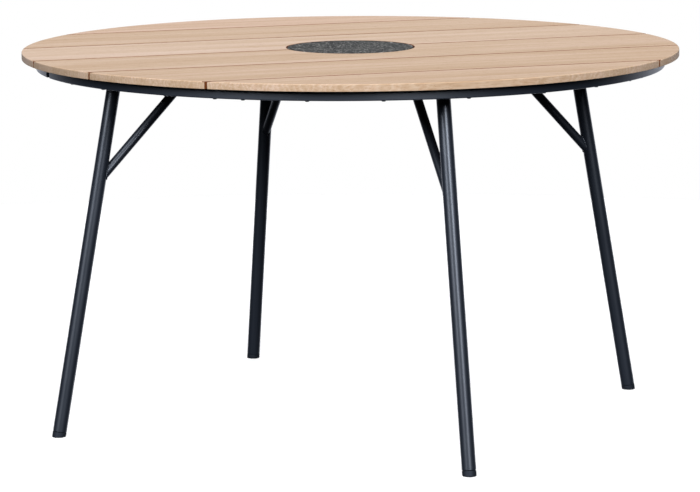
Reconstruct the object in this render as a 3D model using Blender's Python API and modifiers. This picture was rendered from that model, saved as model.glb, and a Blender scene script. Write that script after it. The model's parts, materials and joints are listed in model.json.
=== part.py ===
"""Round garden table: wooden planks and a stone inlay on a split tube frame with four splayed legs.

The origin is on the floor under the middle of the top. +Z is up and +X runs along the planks, so the
joint between the two halves of the top lies on the X axis. Left is -X, right +X, front -Y, back +Y.
"""
import math

import bmesh
import bpy
from mathutils import Matrix, Vector

# Top, in metres
TABLE_HEIGHT = 0.740
TOP_RADIUS = 0.650
PLANK_THICKNESS = 0.014
PLANKS_IN_HALF = 3
OUTER_PLANK_WIDTH = 0.184
PLANK_GAP = 0.004
PLANK_TOP_ROUND = 0.002
PLANK_BOTTOM_ROUND = 0.001
STONE_RADIUS = 0.125
STONE_GAP = 0.0015
STONE_ROUND = 0.001

# Frame under the planks, welded from square tube in two halves
RING_INSET = 0.028
BAR_HEIGHT = 0.020
BAR_WIDTH = 0.020
BAR_WALL = 0.0015
BAR_CORNER = 0.002
HALF_GAP = 0.020
SIDE_BEAM_INSET = 0.305
DRAIN_RADIUS = 0.0025
DRAIN_ANGLE = math.radians(5)

# Legs: a splayed tube and a brace welded under a plate, which is bolted up to the frame.
# An inset is the distance in from the edge of the top.
LEG_TOP_INSET = 0.163
LEG_FOOT_INSET = 0.036
LEG_RADIUS = 0.0135
LEG_WALL = 0.002
LEG_END_ROUND = 0.0012
BRACE_RADIUS = 0.009
BRACE_WALL = 0.0015
BRACE_TOP_INSET = 0.315
BRACE_DROP = 0.200
PLATE_THICKNESS = 0.004
PLATE_PAST_BRACE = 0.025
PLATE_PAST_LEG = 0.027
PLATE_CORNER = 0.008
BOLT_FROM_BRACE = 0.027
BOLT_FROM_LEG = 0.041
BOLT_RADIUS = 0.004
BOLT_LENGTH = 0.016
BOLT_HEAD_FLATS = 0.013
BOLT_HEAD_HEIGHT = 0.0053

# Levelling feet: a plug in the tube, a stud that screws in it and a pad that stays flat on the floor.
# The pad goes on with the tube's line. Its pocket starts above the ball's centre, on the leg's axis.
PLUG_LENGTH = 0.027
STUD_RADIUS = 0.004
STUD_LENGTH = 0.028
STUD_NECK_RADIUS = 0.0022
STUD_HEX_FLATS = 0.010
STUD_HEX_HEIGHT = 0.0056
BALL_RADIUS = 0.0035
BALL_HEIGHT = 0.0048
PAD_RADIUS = 0.0135
PAD_RIM_WIDTH = 0.0030
PAD_POCKET_START = 0.0027
PAD_POCKET_DEPTH = 0.0024
PAD_GAP = 0.0006
PAD_TOP_ROUND = 0.0008
PAD_ROUND = 0.0015

# Air between pieces that touch, how far a cutter runs past what it cuts, and points taken as one
CLEAR = 0.0003
PAST = 0.010
SAME_POINT = 0.00001

TOP_STEPS = 144
RING_STEPS = 72
STONE_STEPS = 64
LEG_STEPS = 28
BRACE_STEPS = 20
FOOT_STEPS = 20
BOLT_STEPS = 12
BALL_STEPS = 5
SHARP_ANGLE = math.radians(35)
HEX_HALF_ANGLE = math.radians(30)
GUIDE_SIZE = 0.05

# Heights and places that follow from the sizes above
PLANK_PITCH = (TOP_RADIUS - PLANK_GAP / 2 - OUTER_PLANK_WIDTH) / (PLANKS_IN_HALF - 1)
PLANK_UNDERSIDE = TABLE_HEIGHT - PLANK_THICKNESS
BAR_TOP = PLANK_UNDERSIDE - CLEAR
BAR_BOTTOM = BAR_TOP - BAR_HEIGHT
PLATE_TOP = BAR_BOTTOM - CLEAR
PLATE_BOTTOM = PLATE_TOP - PLATE_THICKNESS
LEG_TOP = PLATE_BOTTOM - CLEAR
RING_OUTER = TOP_RADIUS - RING_INSET
RING_INNER = RING_OUTER - BAR_WIDTH
BAR_OFFSET = HALF_GAP / 2 + BAR_WIDTH / 2
SIDE_BEAM_PLACE = TOP_RADIUS - SIDE_BEAM_INSET
LEG_TOP_PLACE = TOP_RADIUS - LEG_TOP_INSET
LEG_FOOT_PLACE = TOP_RADIUS - LEG_FOOT_INSET
BRACE_TOP_PLACE = TOP_RADIUS - BRACE_TOP_INSET
PLATE_INNER = BRACE_TOP_PLACE - PLATE_PAST_BRACE
PLATE_OUTER = LEG_TOP_PLACE + PLATE_PAST_LEG
BOLT_PLACES = (BRACE_TOP_PLACE + BOLT_FROM_BRACE, LEG_TOP_PLACE - BOLT_FROM_LEG)
LEAN = math.atan2(LEG_FOOT_PLACE - LEG_TOP_PLACE, LEG_TOP)
LEG_UP = Vector((-math.sin(LEAN), 0, math.cos(LEAN)))
LEG_FOOT = Vector((LEG_FOOT_PLACE, 0, 0))
BALL_CENTRE = LEG_FOOT + LEG_UP * BALL_HEIGHT / math.cos(LEAN)
LEG_AXIS = Matrix.Translation(BALL_CENTRE) @ Matrix.Rotation(-LEAN, 4, "Y")
STUD_HEX_RADIUS = STUD_HEX_FLATS / 2 / math.cos(HEX_HALF_ANGLE)

# Heights along the leg's axis, from the ball's centre
PAD_TOP = PAD_POCKET_START + PAD_POCKET_DEPTH
TUBE_START = PAD_TOP + PAD_GAP
HEX_START = PAD_POCKET_START + CLEAR
HEX_END = HEX_START + STUD_HEX_HEIGHT


def new_collection(name):
    collection = bpy.data.collections.new(name)
    bpy.context.scene.collection.children.link(collection)
    return collection


def new_material(name, colour, roughness, metallic=0.0):
    material = bpy.data.materials.new(name)
    material.use_nodes = True
    shader = material.node_tree.nodes["Principled BSDF"]
    shader.inputs["Base Color"].default_value = (*colour, 1.0)
    shader.inputs["Roughness"].default_value = roughness
    shader.inputs["Metallic"].default_value = metallic
    material.diffuse_color = (*colour, 1.0)
    return material


def new_cutter(name, bm):
    """A closed shape that is only used to cut others."""
    mesh = bpy.data.meshes.new(name)
    bm.to_mesh(mesh)
    bm.free()
    obj = bpy.data.objects.new(name, mesh)
    obj.hide_render = True
    obj.display_type = "WIRE"
    cutters.objects.link(obj)
    return obj


def box(name, low, high):
    bm = bmesh.new()
    bmesh.ops.create_cube(bm, size=1.0)
    low, high = Vector(low), Vector(high)
    for vert in bm.verts:
        vert.co = Vector(((low[i] + high[i]) / 2 + vert.co[i] * (high[i] - low[i]) for i in range(3)))
    return new_cutter(name, bm)


def cylinder(name, radius, low, high, steps, place=(0.0, 0.0)):
    """An upright cylinder. Its first corner is on +X, so equal steps give parallel facets."""
    bm = bmesh.new()
    bmesh.ops.create_cone(bm, cap_ends=True, segments=steps, radius1=radius, radius2=radius,
                          depth=high - low)
    bmesh.ops.translate(bm, vec=(place[0], place[1], (low + high) / 2), verts=bm.verts)
    return new_cutter(name, bm)


def turned(name, profile, steps):
    """A profile of (radius, height) points, turned about Z. It runs down its outer side.

    A profile that starts and ends on the axis is open there. Any other is a closed loop.
    """
    bm = bmesh.new()
    verts = [bm.verts.new((radius, 0.0, height)) for radius, height in profile]
    for first, second in zip(verts, verts[1:]):
        bm.edges.new((first, second))
    if profile[0][0] > 0:
        bm.edges.new((verts[-1], verts[0]))
    obj = new_cutter(name, bm)
    screw = obj.modifiers.new("turn", "SCREW")
    screw.axis = "Z"
    screw.angle = 2 * math.pi
    screw.steps = steps
    screw.render_steps = steps
    screw.use_merge_vertices = True
    screw.merge_threshold = SAME_POINT
    return obj


def boolean(obj, other, operation):
    modifier = obj.modifiers.new(operation.lower(), "BOOLEAN")
    modifier.operation = operation
    modifier.solver = "EXACT"
    modifier.object = other


def cut(obj, *others):
    for other in others:
        boolean(obj, other, "DIFFERENCE")


def baked(obj):
    """The finished mesh of a shape, in the frame of the table."""
    bpy.context.view_layer.update()
    depsgraph = bpy.context.evaluated_depsgraph_get()
    mesh = bpy.data.meshes.new_from_object(obj.evaluated_get(depsgraph))
    mesh.transform(obj.matrix_world)
    bpy.data.objects.remove(obj)
    return mesh


def bevel_edges(mesh, chosen, width, segments):
    """Round the edges of a mesh that the test picks by their two ends."""
    bm = bmesh.new()
    bm.from_mesh(mesh)
    edges = [edge for edge in bm.edges if chosen(edge.verts[0].co, edge.verts[1].co)]
    bmesh.ops.bevel(bm, geom=edges, offset=width, segments=segments, profile=0.5, affect="EDGES",
                    clamp_overlap=True)
    bm.to_mesh(mesh)
    bm.free()


def round_rim(mesh, height, width, segments):
    """Round every edge that lies flat at a height."""
    def on_rim(first, second):
        return abs(first.z - height) < CLEAR / 2 and abs(second.z - height) < CLEAR / 2
    bevel_edges(mesh, on_rim, width, segments)


def place(name, mesh, material, parent=None):
    mesh.materials.clear()
    mesh.materials.append(material)
    mesh.shade_smooth()
    mesh.set_sharp_from_angle(angle=SHARP_ANGLE)
    obj = bpy.data.objects.new(name, mesh)
    obj.parent = parent
    table.objects.link(obj)
    return obj


def guide(name, matrix, parent=None):
    """An empty that carries the pieces of one group."""
    empty = bpy.data.objects.new(name, None)
    empty.empty_display_size = GUIDE_SIZE
    empty.parent = parent
    empty.matrix_local = matrix
    table.objects.link(empty)
    return empty


def plank_rows():
    """The lowest and highest Y of each plank, from the front to the back. The outer ones end past the rim."""
    seams = [row * PLANK_PITCH for row in range(1 - PLANKS_IN_HALF, PLANKS_IN_HALF)]
    lows = [-TOP_RADIUS - PAST] + [seam + PLANK_GAP / 2 for seam in seams]
    highs = [seam - PLANK_GAP / 2 for seam in seams] + [TOP_RADIUS + PAST]
    return zip(lows, highs)


def make_planks():
    hole_radius = STONE_RADIUS + STONE_GAP
    for number, (low_y, high_y) in enumerate(plank_rows(), start=1):
        plank = cylinder("plank_blank", TOP_RADIUS, PLANK_UNDERSIDE, TABLE_HEIGHT, TOP_STEPS)
        strip = box("plank_strip", (-TOP_RADIUS - PAST, low_y, PLANK_UNDERSIDE - PAST),
                    (TOP_RADIUS + PAST, high_y, TABLE_HEIGHT + PAST))
        boolean(plank, strip, "INTERSECT")
        if min(abs(low_y), abs(high_y)) < hole_radius:
            cut(plank, cylinder("stone_hole", hole_radius, PLANK_UNDERSIDE - PAST,
                                TABLE_HEIGHT + PAST, STONE_STEPS))
        mesh = baked(plank)
        round_rim(mesh, TABLE_HEIGHT, PLANK_TOP_ROUND, 2)
        round_rim(mesh, PLANK_UNDERSIDE, PLANK_BOTTOM_ROUND, 1)
        place(f"plank_{number}", mesh, wood)


def make_stone():
    """The disc lies loose on the crossing bars, flush with the planks."""
    mesh = baked(cylinder("stone_blank", STONE_RADIUS, 0.0, PLANK_THICKNESS, STONE_STEPS))
    round_rim(mesh, PLANK_THICKNESS, STONE_ROUND, 2)
    round_rim(mesh, 0.0, STONE_ROUND, 1)
    seat = guide("stone_seat", Matrix.Translation((0, 0, PLANK_UNDERSIDE)))
    place("stone_disc", mesh, stone, seat)


def ring_section(name, inset, corner):
    """The ring's square tube, or its bore, all the way round."""
    inner, outer = RING_INNER + inset, RING_OUTER - inset
    low, high = BAR_BOTTOM + inset, BAR_TOP - inset
    profile = [(outer - corner, high), (outer, high - corner), (outer, low + corner),
               (outer - corner, low), (inner + corner, low), (inner, low + corner),
               (inner, high - corner), (inner + corner, high)]
    if corner == 0:
        profile = [(outer, high), (outer, low), (inner, low), (inner, high)]
    return turned(name, profile, RING_STEPS)


def beyond(name, front_y):
    """A block that takes away all of the frame behind a line across the table."""
    return box(name, (-TOP_RADIUS, front_y, BAR_BOTTOM - PAST), (TOP_RADIUS, TOP_RADIUS, BAR_TOP + PAST))


def ring_half_mesh():
    """The front half of the ring, closed at its ends, with a drain hole by each of them."""
    ring = ring_section("ring_blank", 0.0, BAR_CORNER)
    bore = ring_section("ring_bore", BAR_WALL, 0.0)
    cut(ring, beyond("half_cut", -HALF_GAP / 2))
    cut(bore, beyond("bore_cut", -HALF_GAP / 2 - BAR_WALL))
    cut(ring, bore)
    middle = (RING_INNER + RING_OUTER) / 2
    for side in (-1, 1):
        spot = (side * middle * math.cos(DRAIN_ANGLE), -middle * math.sin(DRAIN_ANGLE))
        cut(ring, cylinder("drain", DRAIN_RADIUS, BAR_BOTTOM - PAST, BAR_BOTTOM + BAR_HEIGHT / 2,
                           BOLT_STEPS, spot))
    return baked(ring)


def square_tube(name, low, high, along):
    """A bar of square tube, open at its ends, that ends at the inside of the ring."""
    low, high = Vector((*low, BAR_BOTTOM)), Vector((*high, BAR_TOP))
    bar = box(name, low, high)

    def lengthwise(first, second):
        return abs((second - first)[along]) > BAR_WIDTH

    bevel_edges(bar.data, lengthwise, BAR_CORNER, 1)
    wall = Vector((BAR_WALL,) * 3)
    wall[along] = -PAST
    cut(bar, box("bar_bore", low + wall, high - wall))
    fit = cylinder("ring_fit", RING_INNER - CLEAR, BAR_BOTTOM - PAST, BAR_TOP + PAST, RING_STEPS)
    boolean(bar, fit, "INTERSECT")
    return bar


def bolt_hole(place_xy, low, high):
    return cylinder("bolt_hole", BOLT_RADIUS + CLEAR, low, high, BOLT_STEPS, place_xy)


def tapped(bar, places):
    """Holes in the lower wall of a bar for the bolts of a leg plate."""
    for spot in places:
        cut(bar, bolt_hole(spot, BAR_BOTTOM - PAST, BAR_BOTTOM + BAR_HEIGHT / 2))
    return bar


def make_frame_half(half, turn):
    """One half of the frame. Its pieces are drawn for the front half and turned for the back."""
    carrier = guide(f"frame_{half}", Matrix.Rotation(turn, 4, "Z"))
    place(f"ring_half_{half}", ring_half_mesh(), coated_metal, carrier)
    near, far = -HALF_GAP / 2, -HALF_GAP / 2 - BAR_WIDTH
    bar = square_tube("joint_bar", (-RING_OUTER, far), (RING_OUTER, near), 0)
    tapped(bar, [(side * spot, -BAR_OFFSET) for side in (-1, 1) for spot in BOLT_PLACES])
    place(f"joint_bar_{half}", baked(bar), coated_metal, carrier)
    for side in (-1, 1):
        seen = "left" if (side < 0) == (turn == 0) else "right"
        middle = side * BAR_OFFSET
        bar = square_tube("centre_beam", (middle - BAR_WIDTH / 2, -RING_OUTER),
                          (middle + BAR_WIDTH / 2, far - CLEAR), 1)
        tapped(bar, [(middle, -spot) for spot in BOLT_PLACES])
        place(f"centre_beam_{half}_{seen}", baked(bar), coated_metal, carrier)
        middle = side * SIDE_BEAM_PLACE
        bar = square_tube("side_beam", (middle - BAR_WIDTH / 2, -RING_OUTER),
                          (middle + BAR_WIDTH / 2, far - CLEAR), 1)
        place(f"side_beam_{half}_{seen}", baked(bar), coated_metal, carrier)


def along_axis(start, end):
    """A frame at a point, with its Z axis towards another."""
    turn = (end - start).to_track_quat("Z", "Y").to_matrix().to_4x4()
    return Matrix.Translation(start) @ turn


def hollow_profile(inner, outer, low, high):
    """A tube's wall, with its lower outer edge rounded off."""
    return [(outer, high), (outer, low + LEG_END_ROUND), (outer - LEG_END_ROUND, low),
            (inner, low), (inner, high)]


def above_plate():
    """A block that takes away whatever reaches into the leg plate."""
    return box("plate_cut", (0, -TOP_RADIUS, LEG_TOP), (TOP_RADIUS, TOP_RADIUS, TABLE_HEIGHT))


def leg_mesh():
    length = LEG_TOP / math.cos(LEAN) + LEG_RADIUS
    tube = turned("leg_blank", hollow_profile(LEG_RADIUS - LEG_WALL, LEG_RADIUS, TUBE_START, length),
                  LEG_STEPS)
    tube.matrix_world = LEG_AXIS
    cut(tube, above_plate())
    return baked(tube)


def brace_mesh():
    """The brace ends on the leg's round side and under the plate."""
    foot = LEG_FOOT + LEG_UP * (LEG_TOP - BRACE_DROP) / math.cos(LEAN)
    top = Vector((BRACE_TOP_PLACE, 0, LEG_TOP))
    length = (top - foot).length + 2 * BRACE_RADIUS
    tube = turned("brace_blank", [(BRACE_RADIUS, length), (BRACE_RADIUS, 0),
                                  (BRACE_RADIUS - BRACE_WALL, 0), (BRACE_RADIUS - BRACE_WALL, length)],
                  BRACE_STEPS)
    tube.matrix_world = along_axis(foot, top)
    saddle = cylinder("saddle", LEG_RADIUS + CLEAR, 0, TABLE_HEIGHT, LEG_STEPS)
    saddle.matrix_world = LEG_AXIS
    cut(tube, saddle, above_plate())
    return baked(tube)


def bolt_spots():
    return [(spot, side * BAR_OFFSET) for spot in BOLT_PLACES for side in (-1, 1)]


def plate_mesh():
    half = HALF_GAP / 2 + BAR_WIDTH
    plate = box("plate_blank", (PLATE_INNER, -half, PLATE_BOTTOM), (PLATE_OUTER, half, PLATE_TOP))

    def upright(first, second):
        return abs(first.z - second.z) > PLATE_THICKNESS / 2

    bevel_edges(plate.data, upright, PLATE_CORNER, 3)
    for spot in bolt_spots():
        cut(plate, bolt_hole(spot, PLATE_BOTTOM - PAST, PLATE_TOP + PAST))
    return baked(plate)


def bolt_mesh():
    """A hex bolt, upright, with its head's top face at the origin."""
    shank = cylinder("bolt_shank", BOLT_RADIUS, -BOLT_HEAD_HEIGHT / 2, BOLT_LENGTH, BOLT_STEPS)
    head = cylinder("bolt_head", BOLT_HEAD_FLATS / 2 / math.cos(HEX_HALF_ANGLE),
                    -BOLT_HEAD_HEIGHT, 0, 6)
    boolean(head, shank, "UNION")
    return baked(head)


def plug_mesh():
    """The plug, flush with the leg's end: a bore for the stud, and at its foot room for the stud's hex."""
    bore = STUD_RADIUS + CLEAR
    room = STUD_HEX_RADIUS + 2 * CLEAR
    body = LEG_RADIUS - LEG_WALL - CLEAR
    top = TUBE_START + PLUG_LENGTH
    plug = turned("plug_blank", [(body, top), (body, TUBE_START), (room, TUBE_START),
                                 (room, HEX_END + CLEAR), (bore, HEX_END + CLEAR), (bore, top)],
                  FOOT_STEPS)
    return baked(plug)


def arc(radius, start, end, steps):
    """Points on a circle round the ball's centre, by their angle from straight down."""
    for step in range(steps + 1):
        angle = start + (end - start) * step / steps
        yield radius * math.sin(angle), -radius * math.cos(angle)


def stud_mesh():
    """A ball, a thin neck, a hex for a spanner and the threaded shank, from the ball's centre."""
    neck_angle = math.pi - math.asin(STUD_NECK_RADIUS / BALL_RADIUS)
    ball = list(arc(BALL_RADIUS, 0.0, neck_angle, BALL_STEPS))[1:]
    middle = (HEX_START + HEX_END) / 2
    profile = [(0.0, HEX_END + STUD_LENGTH), (STUD_RADIUS, HEX_END + STUD_LENGTH),
               (STUD_RADIUS, middle), (STUD_NECK_RADIUS, middle)] + ball[::-1] + [(0.0, -BALL_RADIUS)]
    stud = turned("stud_blank", profile, BOLT_STEPS)
    boolean(stud, cylinder("stud_hex", STUD_HEX_RADIUS, HEX_START, HEX_END, 6), "UNION")
    return baked(stud)


def pad_mesh():
    """The pad under the leg's end, cut flat for the floor and open at the top for the ball and hex."""
    blank = cylinder("pad_blank", PAD_RADIUS, -PAD_RADIUS, PAD_TOP, LEG_STEPS)
    round_rim(blank.data, PAD_TOP, PAD_TOP_ROUND, 1)
    blank.matrix_world = LEG_AXIS
    cut(blank, box("floor_cut", (0, -TOP_RADIUS, -TABLE_HEIGHT), (TOP_RADIUS, TOP_RADIUS, 0)))
    mesh = baked(blank)
    round_rim(mesh, 0.0, PAD_ROUND, 2)
    pad = bpy.data.objects.new("pad_body", mesh)
    cutters.objects.link(pad)
    socket = BALL_RADIUS + CLEAR
    mouth = math.pi - math.acos(PAD_POCKET_START / socket)
    inside = list(arc(socket, 0.0, mouth, BALL_STEPS))
    pocket = PAD_RADIUS - PAD_RIM_WIDTH
    hollow = turned("pad_hollow", [(0.0, PAD_TOP + PAST), (pocket, PAD_TOP + PAST),
                                   (pocket, PAD_POCKET_START)] + inside[:0:-1] + [(0.0, -socket)],
                    FOOT_STEPS)
    hollow.matrix_world = LEG_AXIS
    cut(pad, hollow)
    return baked(pad)


def make_leg(side, turn):
    """One leg with its plate, bolts and levelling foot, drawn on the right and turned into place."""
    carrier = guide(f"leg_module_{side}", Matrix.Rotation(turn, 4, "Z"))
    axis = guide(f"leg_axis_{side}", LEG_AXIS, carrier)
    place(f"leg_plate_{side}", plate_mesh(), coated_metal, carrier)
    place(f"leg_tube_{side}", leg_mesh(), coated_metal, carrier)
    place(f"brace_{side}", brace_mesh(), coated_metal, carrier)
    for number, spot in enumerate(bolt_spots(), start=1):
        bolt = place(f"leg_bolt_{side}_{number}", bolt_mesh(), zinc, carrier)
        bolt.location = (*spot, PLATE_BOTTOM - CLEAR)
    place(f"leg_plug_{side}", plug_mesh(), plastic, axis)
    place(f"levelling_stud_{side}", stud_mesh(), zinc, axis)
    place(f"foot_pad_{side}", pad_mesh(), plastic, carrier)


for old in list(bpy.data.objects):
    bpy.data.objects.remove(old)

table = new_collection("garden_table")
cutters = new_collection("cutters")
wood = new_material("plank_wood", (0.68, 0.50, 0.37), 0.6)
stone = new_material("granite", (0.07, 0.08, 0.08), 0.45)
coated_metal = new_material("powder_coated_metal", (0.012, 0.014, 0.018), 0.4, 0.2)
plastic = new_material("black_plastic", (0.01, 0.01, 0.012), 0.5)
zinc = new_material("zinc_plated_steel", (0.55, 0.55, 0.56), 0.35, 1.0)

make_planks()
make_stone()
make_frame_half("front", 0.0)
make_frame_half("back", math.pi)
for leg_side, leg_turn in (("right", 0.0), ("back", 90.0), ("left", 180.0), ("front", 270.0)):
    make_leg(leg_side, math.radians(leg_turn))
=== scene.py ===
"""The looks of a round garden table: finishes, screws, welds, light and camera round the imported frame.

Sizes are in metres, in the frame of the solids: the origin is on the floor under the middle of the top,
+Z is up, +X runs along the planks and -Y is the front.
"""
import json
import math

import bmesh
import bpy
from mathutils import Matrix, Vector


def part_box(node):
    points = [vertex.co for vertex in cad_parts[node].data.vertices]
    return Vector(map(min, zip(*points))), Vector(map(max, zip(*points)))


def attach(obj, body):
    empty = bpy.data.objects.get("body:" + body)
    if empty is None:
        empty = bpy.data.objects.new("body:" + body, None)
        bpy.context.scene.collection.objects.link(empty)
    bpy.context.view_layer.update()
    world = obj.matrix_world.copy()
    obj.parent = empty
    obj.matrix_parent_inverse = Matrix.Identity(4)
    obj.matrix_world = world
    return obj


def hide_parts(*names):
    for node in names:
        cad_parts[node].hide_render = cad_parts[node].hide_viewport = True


MM = 0.001
SIDES = {"right": 0.0, "back": 0.5 * math.pi, "left": math.pi, "front": 1.5 * math.pi}
HALVES = {"front": 0.0, "back": math.pi}

# The camera, fitted to the rim, the seams, the legs and the feet in the photograph. Angles are in radians:
# the turn goes round the table from its front, the pitch is downward, and the aim is off the middle.
IMAGE_WIDTH = 700
FOCAL_LENGTH_PIXELS = 3429.7
SENSOR_WIDTH_MM = 36.0
CAMERA_DISTANCE = 6.782
CAMERA_HEIGHT = 1.4437
CAMERA_TURN = 0.3596
CAMERA_PITCH = 0.1614
CAMERA_ROLL = -0.0059
CAMERA_AIM = 0.00045

# The studio. A brightness of 1 is that of white paper in the photograph's light.
FLOOR_RADIUS = 3.0
# What the frame reflects: a backdrop above the horizon, and its sweep over the floor below. Each is pairs of
# the cosine of the angle to the backdrop's middle and the brightness there. The middle lies a little to the
# right of straight ahead of the camera.
BACKDROP = ((0.50, 0.03), (0.68, 0.8), (0.84, 0.8), (0.96, 0.15))
SWEEP = ((0.40, 0.03), (0.60, 0.5), (0.72, 0.95), (0.88, 1.5))
BACKDROP_TURN = math.radians(7)
HORIZON_BLUR = 0.04
# Two wide sun lamps over the camera: the key light for the whole table, and a brighter one for its top only
SUN_WIDTH = math.radians(60)
KEY_STRENGTH = 0.85
KEY_ELEVATION = math.radians(54)
TOP_STRENGTH = 5.1
TOP_ELEVATION = math.radians(42)
# A lamp straight above, for the floor only
FLOOR_WASH_STRENGTH = 3.0
FLOOR_WASH_HEIGHT = 3.0
# The soft boxes that draw the streaks on the legs: name, degrees to the left of the camera, distance from
# the table's middle, height of the box's middle, width, height and brightness
SOFT_BOXES = (
    ("left_box", 38, 8.0, 3.90, 2.1, 3.2, 60.0),
    ("right_box", -20, 8.0, 3.90, 1.6, 3.2, 84.0),
)

# Planks and stone
RIM_STEP = math.radians(1.25)
PLANK_TOP_ROUND = 2.0 * MM
PLANK_BOTTOM_ROUND = 1.0 * MM
STONE_GAP = 1.5 * MM
STONE_ROUND = 1.0 * MM
STONE_STEPS = 160
# A side of a plank is part of the rim up to this cosine of the angle from straight out. The other sides get
# the painted shade between the boards.
RIM_FACING = 0.9

# Frame and legs. A brace meets its leg this far below the leg's top, and the plate at its own place.
RING_STEPS = 150
TUBE_CORNER = 2.0 * MM
DRAIN_RADIUS = 2.5 * MM
DRAIN_ANGLE = math.radians(5)
DRAIN_DEPTH = 6 * MM
DRAIN_STEPS = 24
LEG_RADIUS = 13.5 * MM
LEG_WALL = 2.0 * MM
LEG_END_ROUND = 1.2 * MM
BRACE_RADIUS = 9.0 * MM
BRACE_WALL = 1.5 * MM
BRACE_TOP_PLACE = 335 * MM
BRACE_DROP = 200 * MM
SIDE_BEAM_PLACE = 345 * MM
TUBE_STEPS = 64
CLEAR = 0.3 * MM
# Straight out to the right-hand leg, and square to that leg and its brace
ACROSS = Vector((1, 0, 0))
ASIDE = Vector((0, 1, 0))

# Screws under the frame: pan heads with a hex socket. A head's flat end and its straight side are shares
# of its radius and its height.
SCREW_RADIUS = 4.0 * MM
SCREW_HEIGHT = 2.3 * MM
SCREW_FLAT_END = 0.55
SCREW_STRAIGHT_SIDE = 0.3
SCREW_STEPS = 24
SCREW_CROWN_STEPS = 6
SOCKET_FLATS = 3.0 * MM
SOCKET_DEPTH = 1.5 * MM
# Degrees from the middle of a half ring, and places along the bars from the table's middle
RING_SCREW_ANGLES = (0, 15, 28, 39.3, 44.5, 54.4, 69.7, 80)
BEAM_SCREW_PLACES = (0.150, 0.272, 0.560)
SIDE_SCREW_PLACES = (0.110, 0.300, 0.440)
JOINT_SCREW_PLACES = (0.190, 0.270, 0.560)

# Weld beads. The swell is the ripples' height as a share of the bead's radius.
BEAD_RADIUS = 1.5 * MM
BEAD_RIPPLE = 2.2 * MM
BEAD_POINTS_IN_RIPPLE = 4
BEAD_SWELL = 0.14

# Levelling feet, by their heights along the leg from the middle of the ball
PLUG_ROUND = 0.3 * MM
PAD_POCKET_START = 2.7 * MM
PAD_RIM_WIDTH = 3.0 * MM
PAD_TOP_ROUND = 0.8 * MM
PAD_ROUND = 1.5 * MM
BALL_RADIUS = 3.5 * MM
# The ball and its socket end in a small flat at this angle from the leg's upward direction.
BALL_END = 0.95 * math.pi
BALL_STEPS = 12
SOCKET_STEPS = 8
NECK_RADIUS = 2.2 * MM
HEX_FLATS = 10.0 * MM
HEX_HEIGHT = 5.6 * MM
HEX_CHAMFER = 0.4 * MM
BORE_RADIUS = 4.3 * MM
# An M8 thread. The flat is the share of the pitch at its crest, and again at its root.
THREAD_RADIUS = 4.0 * MM
THREAD_DEPTH = 0.6 * MM
THREAD_PITCH = 1.25 * MM
THREAD_FLAT = 1 / 12
THREAD_STEPS = 24
THREAD_ROWS_IN_PITCH = 6

# Points taken as one, and the angle between faces that shows as an edge
SAME_POINT = 0.01 * MM
SHARP_ANGLE = math.radians(35)

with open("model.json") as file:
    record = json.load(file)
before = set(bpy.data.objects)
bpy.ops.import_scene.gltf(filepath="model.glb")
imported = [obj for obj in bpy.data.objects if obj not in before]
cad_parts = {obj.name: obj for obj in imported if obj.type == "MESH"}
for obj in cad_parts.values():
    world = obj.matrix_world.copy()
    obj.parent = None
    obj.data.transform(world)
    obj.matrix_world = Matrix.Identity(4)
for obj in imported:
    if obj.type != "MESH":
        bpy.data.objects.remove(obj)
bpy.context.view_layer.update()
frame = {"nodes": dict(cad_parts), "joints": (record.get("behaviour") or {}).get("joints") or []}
joints = {joint["name"]: joint for joint in frame["joints"]}

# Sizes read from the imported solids
TOP_LOW, TOP_HIGH = (corner.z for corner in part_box("plank_3"))
TOP_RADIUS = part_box("plank_6")[1].y
STONE_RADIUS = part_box("stone_disc")[1].x
RING_OUTER = -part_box("ring_half_front")[0].y
HALF_GAP = -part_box("ring_half_front")[1].y
BAR_LOW, BAR_HIGH = (corner.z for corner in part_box("ring_half_front"))
BAR_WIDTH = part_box("joint_bar_front")[1].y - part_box("joint_bar_front")[0].y
RING_INNER = RING_OUTER - BAR_WIDTH
BAR_OFFSET = HALF_GAP + BAR_WIDTH / 2
LEG_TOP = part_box("leg_tube_right")[1].z
BALL = Vector(joints["foot_right_turn"]["pos_m"])
LEG_UP = -Vector(joints["foot_right_turn"]["axis"])
VIEW_WAY = Vector((math.sin(CAMERA_TURN), math.cos(CAMERA_TURN), 0))
PLANK_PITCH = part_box("plank_5")[1].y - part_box("plank_4")[1].y


def along_leg(node):
    """The lowest and highest point of a solid at the right-hand leg, along it from the ball's middle."""
    heights = [(vert.co - BALL).dot(LEG_UP) for vert in frame["nodes"][node].data.vertices]
    return min(heights), max(heights)


TUBE_START = along_leg("leg_tube_right")[0]
PLUG_TOP = along_leg("leg_plug_right")[1]
PAD_TOP = along_leg("foot_pad_right")[1]
STUD_TOP = along_leg("levelling_stud_right")[1]


def linear(hex_colour):
    """An sRGB hex colour as the linear values that a shader takes."""
    parts = [int(hex_colour[i:i + 2], 16) / 255 for i in (1, 3, 5)]
    return (*[p / 12.92 if p <= 0.04045 else ((p + 0.055) / 1.055) ** 2.4 for p in parts], 1.0)


def connect(tree, node, links):
    """Feeds a node's inputs. A link's value is another node's output, or a plain value for that input."""
    for name, value in links.items():
        if isinstance(value, bpy.types.NodeSocket):
            tree.links.new(value, node.inputs[name])
        else:
            node.inputs[name].default_value = value


def add(tree, kind, settings=None, links=None, stops=()):
    """Adds a node with its settings, its links and, on a colour ramp, its stops of (position, colour)."""
    node = tree.nodes.new(kind)
    for name, value in (settings or {}).items():
        setattr(node, name, value)
    connect(tree, node, links or {})
    if stops:
        elements = node.color_ramp.elements
        while len(elements) < len(stops):
            elements.new(1.0)
        for element, (position, colour) in zip(elements, stops):
            element.position = position
            element.color = linear(colour) if isinstance(colour, str) else colour
    return node


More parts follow.
